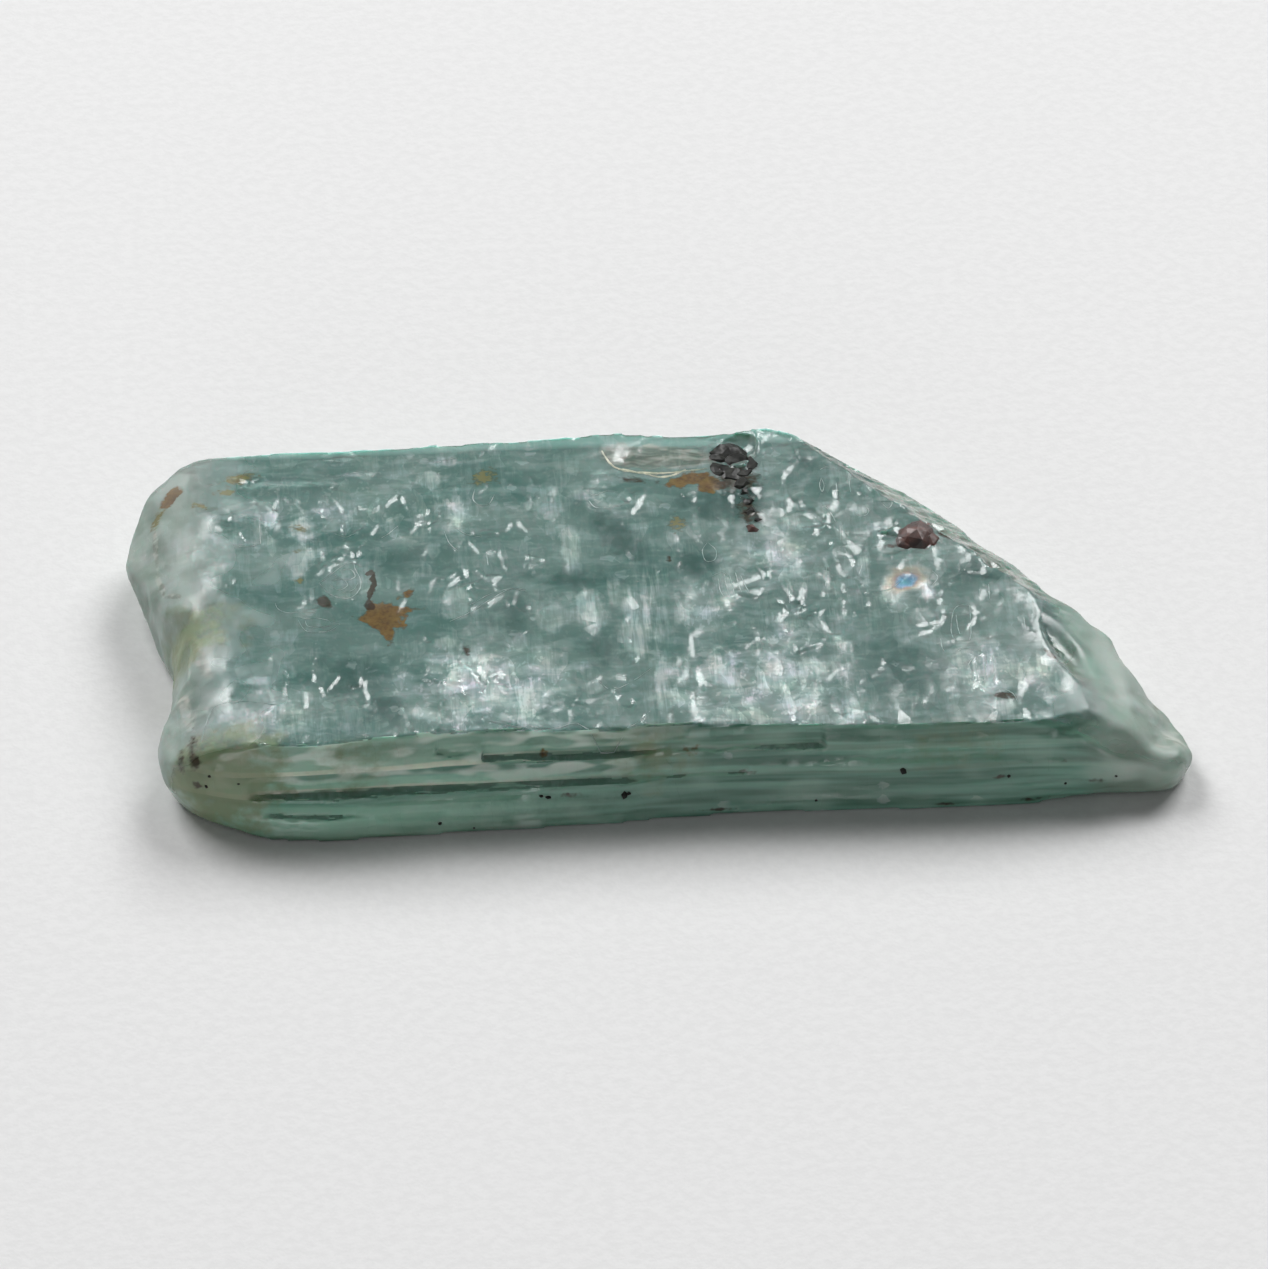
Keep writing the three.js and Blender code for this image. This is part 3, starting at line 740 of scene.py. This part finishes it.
RIM_LINES = (
    ((-11.93, 2.71), (-11.87, 2.52), (-11.63, 2.38), (-11.34, 2.36), (-11.04, 2.48)),
    ((-11.02, 3.70), (-11.05, 3.16), (-11.04, 2.48)),
    (
        (-9.42, 0.70), (-9.23, 0.31), (-8.92, 0.05), (-8.56, 0.01), (-8.30, 0.32), (-8.24, 0.75),
        (-8.38, 1.24), (-8.44, 1.53), (-8.73, 1.42), (-9.10, 1.00), (-9.42, 0.70),
    ),
    ((-9.11, 0.57), (-8.84, 0.35), (-8.62, 0.55), (-8.75, 0.83), (-9.03, 0.79)),
    ((-8.96, 1.00), (-8.68, 0.77), (-8.39, 0.92), (-8.52, 1.24), (-8.81, 1.20)),
    ((-8.77, 0.24), (-8.48, 0.33), (-8.32, 0.64)),
    ((-10.69, -0.10), (-10.61, -0.37), (-10.35, -0.54), (-9.99, -0.53), (-9.54, -0.58)),
    ((-10.18, -0.74), (-9.86, -0.80), (-9.44, -0.82), (-8.88, -1.09)),
    ((-10.07, -0.82), (-9.94, -1.19), (-9.74, -1.37), (-9.24, -1.38), (-8.99, -1.19)),
    ((-9.86, -0.90), (-9.79, -1.14), (-9.45, -1.20), (-9.16, -1.13)),
    ((-4.81, 4.56), (-4.89, 4.15), (-4.73, 3.88), (-4.44, 3.91), (-4.27, 4.28)),
    ((-5.47, 2.94), (-5.18, 2.63), (-4.73, 2.48)),
    ((-5.78, 2.77), (-5.65, 2.24), (-5.42, 1.90)),
    ((-5.78, -1.10), (-5.27, -0.79), (-4.53, -0.18), (-4.02, 0.20), (-3.56, 0.09)),
    ((-7.58, 2.57), (-7.33, 2.78), (-7.09, 3.05)),
    ((-8.90, 2.81), (-8.62, 2.69), (-8.33, 2.78)),
    ((-5.91, 5.80), (-5.61, 5.96), (-5.32, 6.01)),
    ((-9.16, 6.20), (-8.65, 6.06)),
    ((-8.64, 5.39), (-8.24, 5.53), (-7.95, 5.41)),
    ((-12.90, -5.31), (-12.60, -4.30), (-12.18, -4.11), (-11.35, -4.21), (-10.66, -4.40)),
    ((1.73, 1.96), (1.56, 1.62), (1.63, 1.18), (1.89, 1.23), (1.95, 1.63), (1.75, 1.94)),
    ((1.76, 0.52), (2.06, 0.69), (2.21, 0.50)),
    ((1.93, 0.39), (1.94, -0.07), (2.02, -0.39)),
    ((2.11, 0.60), (2.13, 0.07), (2.20, -0.43)),
    ((2.27, 0.50), (2.31, 0.00), (2.36, -0.49)),
    ((2.44, 0.64), (2.49, 0.12), (2.56, -0.32)),
    ((2.58, 0.51), (2.67, 0.11), (2.77, -0.27)),
    ((-1.66, 4.33), (-1.39, 4.16), (-1.01, 4.33), (-0.69, 4.25)),
    ((-1.56, 3.93), (-1.37, 3.60), (-0.85, 3.53)),
    ((-5.18, -0.43), (-4.55, 0.03), (-3.92, 0.24), (-3.60, 0.16)),
    ((-1.78, -3.72), (-1.40, -4.16), (-0.90, -3.92), (-0.21, -3.35)),
    ((-4.61, 1.80), (-4.59, 1.25)),
    ((5.65, 4.97), (5.38, 5.05), (5.21, 4.93)),
    ((6.03, 4.75), (6.01, 4.31), (6.01, 3.92)),
    ((5.63, 4.33), (5.60, 3.67)),
    ((5.15, 3.40), (5.36, 3.04), (5.47, 2.66)),
    ((5.13, 3.27), (5.34, 3.39), (5.48, 3.32)),
    ((6.05, 3.01), (6.16, 2.87), (6.37, 2.90), (6.47, 3.12), (6.35, 3.32)),
    ((5.21, 4.57), (5.14, 4.24), (5.19, 3.96), (5.27, 4.24), (5.21, 4.57)),
    ((8.38, -1.79), (8.50, -1.30), (8.69, -1.09), (8.96, -1.11)),
    ((8.96, -1.11), (8.95, -1.58), (8.90, -2.22), (8.82, -2.58)),
    ((8.38, -1.79), (8.35, -2.24), (8.44, -2.58), (8.82, -2.58)),
    ((8.55, -1.46), (8.55, -1.99), (8.58, -2.31)),
    ((8.38, -3.06), (8.62, -2.92), (8.87, -2.96)),
    ((8.02, -2.45), (8.02, -2.81), (8.08, -3.02)),
    ((9.60, -0.23), (9.57, -0.83)),
    ((9.31, -0.45), (9.30, -0.71)),
    ((9.32, -4.73), (9.56, -4.64), (9.82, -4.86), (9.91, -5.20)),
    ((8.98, -3.28), (8.91, -3.69), (8.89, -4.32)),
    ((9.21, -3.08), (9.16, -3.70), (9.05, -4.53)),
    ((9.42, -3.19), (9.41, -3.72), (9.31, -4.34)),
    ((10.13, -3.75), (10.25, -3.97), (10.13, -4.38)),
    ((8.65, -3.68), (8.82, -3.37), (9.13, -3.18)),
    ((6.83, 3.50), (7.17, 3.48), (7.03, 3.18), (6.83, 3.50)),
    ((7.09, 0.00), (6.77, -0.30), (6.41, -0.39)),
    ((8.05, 0.39), (8.18, 0.11), (8.00, -0.20)),
    ((6.08, 0.81), (5.95, 0.38)),
    ((3.96, 0.15), (3.88, -0.70)),
    ((5.05, 0.75), (4.95, -0.11)),
    ((10.46, -1.66), (10.43, -2.19)),
    ((5.58, 2.46), (5.55, 1.81)),
    (
        (-4.90, -5.33), (-4.11, -5.59), (-3.12, -5.71), (-2.51, -5.52), (-2.12, -5.76),
        (-1.43, -5.87), (-0.70, -5.53), (-0.40, -5.13),
    ),
)
CREAM_LINES = (
    ((-1.05, 6.10), (-0.74, 5.41), (0.08, 5.11), (0.91, 5.07), (1.96, 5.21)),
    ((0.08, 5.11), (0.69, 4.86), (1.33, 5.18)),
)


STEPS = 4                   # points from one given point of a line to the next
EDGE, CREST, KEEL = -0.006, 0.008, -0.03    # heights in a rod's section over the face, mm


def rods(lines, width):
    """Flat rods along lines on the upper face, as points and faces of one mesh."""
    points, faces = [], []
    for line in lines:
        path = []
        for i in range(len(line) - 1):
            before, start_at, end_at, after = (
                Vector(line[max(0, min(len(line) - 1, i + step))]) for step in (-1, 0, 1, 2)
            )
            for step in range(STEPS):
                t = step / STEPS
                path.append(0.5 * (
                    2 * start_at
                    + (end_at - before) * t
                    + (2 * before - 5 * start_at + 4 * end_at - after) * t**2
                    + (3 * start_at - before - 3 * end_at + after) * t**3
                ))
        path.append(Vector(line[-1]))
        first = len(points)
        count = 0
        for i, spot in enumerate(path):
            z = face_height(spot.x, spot.y)
            if z is None:
                continue
            ahead = (path[min(i + 1, len(path) - 1)] - path[max(i - 1, 0)]).normalized()
            taper = math.sin(math.pi * (i + 0.6) / (len(path) + 0.2)) ** 0.5
            half = width * taper * chance.uniform(0.5, 1.0)
            across = Vector((-ahead.y, ahead.x)) * half
            flat = across * 0
            for move, up in ((across, EDGE), (flat, CREST), (-across, EDGE), (flat, KEEL)):
                points.append(((spot.x + move.x) * MM, (spot.y + move.y) * MM, (z + up) * MM))
            count += 1
        if count < 2:
            del points[first:]
            continue
        for i in range(count - 1):
            for corner in range(4):
                here = first + i * 4 + corner
                beside = first + i * 4 + (corner + 1) % 4
                faces.append((here, beside, beside + 4, here + 4))
        last = first + (count - 1) * 4
        faces.append((first + 3, first + 2, first + 1, first))
        faces.append((last, last + 1, last + 2, last + 3))
    return points, faces


def rod_piece(name, lines, width, colours, roughness):
    """One finished piece of rods along lines, with its own material."""
    points, faces = rods(lines, width)
    mesh = bpy.data.meshes.new(name)
    mesh.from_pydata(points, [], faces)
    piece = bpy.data.objects.new(name, mesh)
    bpy.context.scene.collection.objects.link(piece)
    pick(piece)
    bpy.ops.object.mode_set(mode="EDIT")
    bpy.ops.mesh.select_all(action="SELECT")
    bpy.ops.mesh.normals_make_consistent(inside=False)
    bpy.ops.object.mode_set(mode="OBJECT")
    made, start = material(name.replace("_", " "))
    at = millimetres(start)
    shade = at.noise(5, 3, 0.6).rise(0.35, 0.65).mix(*colours)
    skin = shade.node(
        "ShaderNodeBsdfPrincipled", {}, {"Base Color": shade, "Roughness": roughness, "IOR": 1.5}
    )
    skin.node("ShaderNodeOutputMaterial", {}, {"Surface": skin})
    mesh.materials.append(made)
    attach(piece, "root")
    return piece


rod_piece("split_rims", RIM_LINES, 0.028, ((0.28, 0.42, 0.39), (0.56, 0.66, 0.64)), 0.35)
rod_piece("cream_edges", CREAM_LINES, 0.09, ((0.34, 0.38, 0.28), (0.62, 0.62, 0.48)), 0.3)

# ---- Dark grains at the back edge --------------------------------------------------------
# Small black crystals of another mineral that grew into the blade, and stand a little proud.
# A thick knot of them sits on the back edge, and a row of smaller ones runs in from it.


def grain(x, y, z, size, detail, seed, flat=1.0, rough=0.3):
    """A lumpy little crystal: a ball of flat faces whose points are moved by chance."""
    bpy.ops.mesh.primitive_ico_sphere_add(subdivisions=detail, radius=size, location=(x, y, z))
    made = bpy.context.object
    made.scale = (1, 1, flat)
    bpy.ops.object.mode_set(mode="EDIT")
    bpy.ops.mesh.select_all(action="SELECT")
    bpy.ops.transform.vertex_random(offset=size * rough, uniform=0.0, normal=0.3, seed=seed)
    bpy.ops.object.mode_set(mode="OBJECT")
    return made


def gathered(name, pieces):
    """Grains joined to one piece, brought to metres, with its object at the origin."""
    deselect()
    for piece in pieces:
        piece.select_set(True)
    bpy.context.view_layer.objects.active = pieces[0]
    if len(pieces) > 1:
        bpy.ops.object.join()
    joined = bpy.context.object
    joined.name = name
    bpy.ops.object.transform_apply()
    joined.scale = (MM, MM, MM)
    bpy.ops.object.transform_apply()
    return joined


deselect()
black_grains = gathered("black_grains", [
    grain(2.62, 5.95, 2.44, 0.54, 2, 1, 0.78, 0.2),
    grain(2.35, 5.7, 2.46, 0.42, 2, 10, 0.72, 0.2),
    grain(2.85, 5.5, 2.48, 0.46, 2, 2, 0.76, 0.2),
    grain(3.1, 5.3, 2.46, 0.46, 2, 3, 0.78, 0.2),
    grain(2.3, 5.1, 2.55, 0.44, 2, 4, 0.6, 0.2),
    grain(2.65, 4.85, 2.55, 0.46, 2, 5, 0.55, 0.2),
    grain(3.0, 4.95, 2.55, 0.36, 2, 11, 0.6, 0.2),
    grain(2.9, 4.45, 2.66, 0.28, 2, 6, 0.55),
    grain(3.0, 4.1, 2.66, 0.22, 2, 7, 0.6),
    grain(3.05, 3.65, 2.66, 0.19, 2, 12, 0.65),
    grain(3.05, 3.2, 2.62, 0.22, 2, 8, 0.8),
    grain(3.25, 2.85, 2.62, 0.18, 2, 9, 0.8),
])
coal, start = material("black mineral")
at = millimetres(start)
sooty = at.noise(4, 3, 0.6).rise(0.35, 0.7).mix((0.004, 0.005, 0.004), (0.022, 0.024, 0.019))
hide = sooty.node("ShaderNodeBsdfPrincipled", {}, {
    "Base Color": sooty,
    "Roughness": 0.32 + at.noise(6, 2, 0.5).rise(0.4, 0.7) * 0.4,
    "Specular IOR Level": 0.3,
})
hide.node("ShaderNodeOutputMaterial", {}, {"Surface": hide})
black_grains.data.materials.append(coal)
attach(black_grains, "root")

# ---- Dark specks on the sides and ends -----------------------------------------------------
# Tiny black flecks of the same mineral as the grains at the back edge, half sunk in the
# front side and in the worn front corners.


IN_FRONT = -0.03            # where a line to the front side starts, metres


def front_of(x, z):
    """The front side's y at a place along the blade and a height, in millimetres."""
    return tree.ray_cast(Vector((x * MM, IN_FRONT, z * MM)), Vector((0, 1, 0)))[0].y / MM


deselect()
black_specks = gathered("black_specks", [
    grain(x, front_of(x, z) + size * 0.3, z, size, 1, 30 + i, flat)
    for i, (x, z, size, flat) in enumerate((
        (-1.17, 0.8, 0.12, 1.0), (-1.05, 0.85, 0.09, 0.6), (-3.5, 0.95, 0.08, 0.5),
        (-3.3, 0.9, 0.1, 0.5), (6.64, 1.2, 0.11, 1.2), (9.6, 0.9, 0.06, 1.0),
        (-6.35, 0.3, 0.07, 1.0), (11.2, 0.6, 0.05, 1.0), (-12.7, 1.85, 0.06, 1.0),
        (-12.8, 1.5, 0.06, 1.4), (-5.4, 0.12, 0.05, 0.6), (12.6, 0.9, 0.05, 1.0),
        (-11.9, 1.7, 0.05, 0.5), (4.2, 0.35, 0.05, 0.8),
    ))
])
black_specks.data.materials.append(coal)
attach(black_specks, "root")

# ---- Garnet grain ------------------------------------------------------------------------
# A dark red-brown garnet with flat faces, half sunk in the blade near its sloping back edge.
# A second one, much smaller, ends the row of black grains.

deselect()
garnet = gathered("garnet_grain", [
    grain(7.73, 1.86, 2.34, 0.66, 2, 21, 0.95, 0.12),
    grain(8.1, 1.75, 2.3, 0.52, 2, 22, 0.95, 0.12),
    grain(7.42, 1.7, 2.32, 0.48, 2, 24, 0.95, 0.12),
    grain(7.85, 2.3, 2.32, 0.48, 2, 26, 0.95, 0.12),
    grain(3.05, 2.45, 2.6, 0.2, 2, 23),
])
wine, start = material("garnet")
at = millimetres(start)
blush = at.noise(3, 3, 0.6).rise(0.35, 0.7).mix((0.018, 0.007, 0.005), (0.11, 0.038, 0.026))
hide = blush.node("ShaderNodeBsdfPrincipled", {}, {
    "Base Color": blush,
    "Roughness": 0.42 + at.noise(5, 2, 0.5).rise(0.4, 0.7) * 0.35,
    "IOR": 1.79,
})
hide.node("ShaderNodeOutputMaterial", {}, {"Surface": hide})
garnet.data.materials.append(wine)
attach(garnet, "root")

# ---- The floor ---------------------------------------------------------------------------
# A pale matt sheet of soft fibres that the stone lies on. It is no part of the stone,
# and lies a little below it so that the two don't share a face.

deselect()
bpy.ops.mesh.primitive_plane_add(size=4, location=(0, 0, -0.02 * MM))
floor = bpy.context.object
floor.name = "floor"
paper, start = material("pale sheet")
at = millimetres(start)
fibres = at.noise(3.0, 2, 0.6).rise(0.3, 0.7)
pulp = fibres.mix((0.785, 0.785, 0.785), (0.815, 0.815, 0.815))
nap = pulp.node("ShaderNodeBump", {}, {"Strength": 0.06, "Distance": 0.1 * MM, "Height": fibres})
skin = pulp.node("ShaderNodeBsdfDiffuse", {}, {"Color": pulp, "Normal": nap})
skin.node("ShaderNodeOutputMaterial", {}, {"Surface": skin})
floor.data.materials.append(paper)

# ---- Light and camera ----------------------------------------------------------------------
# Two soft lamps behind the stone and a low pale card in front of it, in a dim white tent.
# The camera looks down on the front side from a hand's length away.

LAMP_SIZE = 0.4
LAMP_POWER = 4.42
TENT_LIGHT = 0.1

world = bpy.data.worlds.new("soft tent")
bpy.context.scene.world = world
world.use_nodes = True
world.node_tree.nodes["Background"].inputs["Color"].default_value = (1, 1, 1, 1)
world.node_tree.nodes["Background"].inputs["Strength"].default_value = TENT_LIGHT


def lamp(name, place, size, power):
    light = bpy.data.lights.new(name, "AREA")
    light.size = size
    light.energy = power
    holder = bpy.data.objects.new(name, light)
    holder.location = place
    holder.rotation_euler = (-Vector(place)).to_track_quat("-Z", "Y").to_euler()
    bpy.context.scene.collection.objects.link(holder)


lamp("left light", (-0.34, 0.48, 0.52), LAMP_SIZE, LAMP_POWER)
lamp("right light", (0.34, 0.48, 0.52), LAMP_SIZE, LAMP_POWER)
lamp("low front card", (-0.15, -0.58, 0.06), 0.3, 0.68)

AZIMUTH = math.radians(-3.6)
ELEVATION = math.radians(42)
AIM = Vector((-0.525, -0.40, 1.4)) * MM
EYE_DISTANCE = 0.2009
back = Vector((
    math.sin(AZIMUTH) * math.cos(ELEVATION),
    -math.cos(AZIMUTH) * math.cos(ELEVATION),
    math.sin(ELEVATION),
))
eye = bpy.data.cameras.new("camera")
eye.lens = 200
eye.sensor_width = 36
eye.clip_start = 0.01
camera = bpy.data.objects.new("camera", eye)
camera.location = AIM + back * EYE_DISTANCE
camera.rotation_euler = (-back).to_track_quat("-Z", "Y").to_euler()
bpy.context.scene.collection.objects.link(camera)
bpy.context.scene.camera = camera
bpy.context.scene.view_settings.view_transform = "Standard"
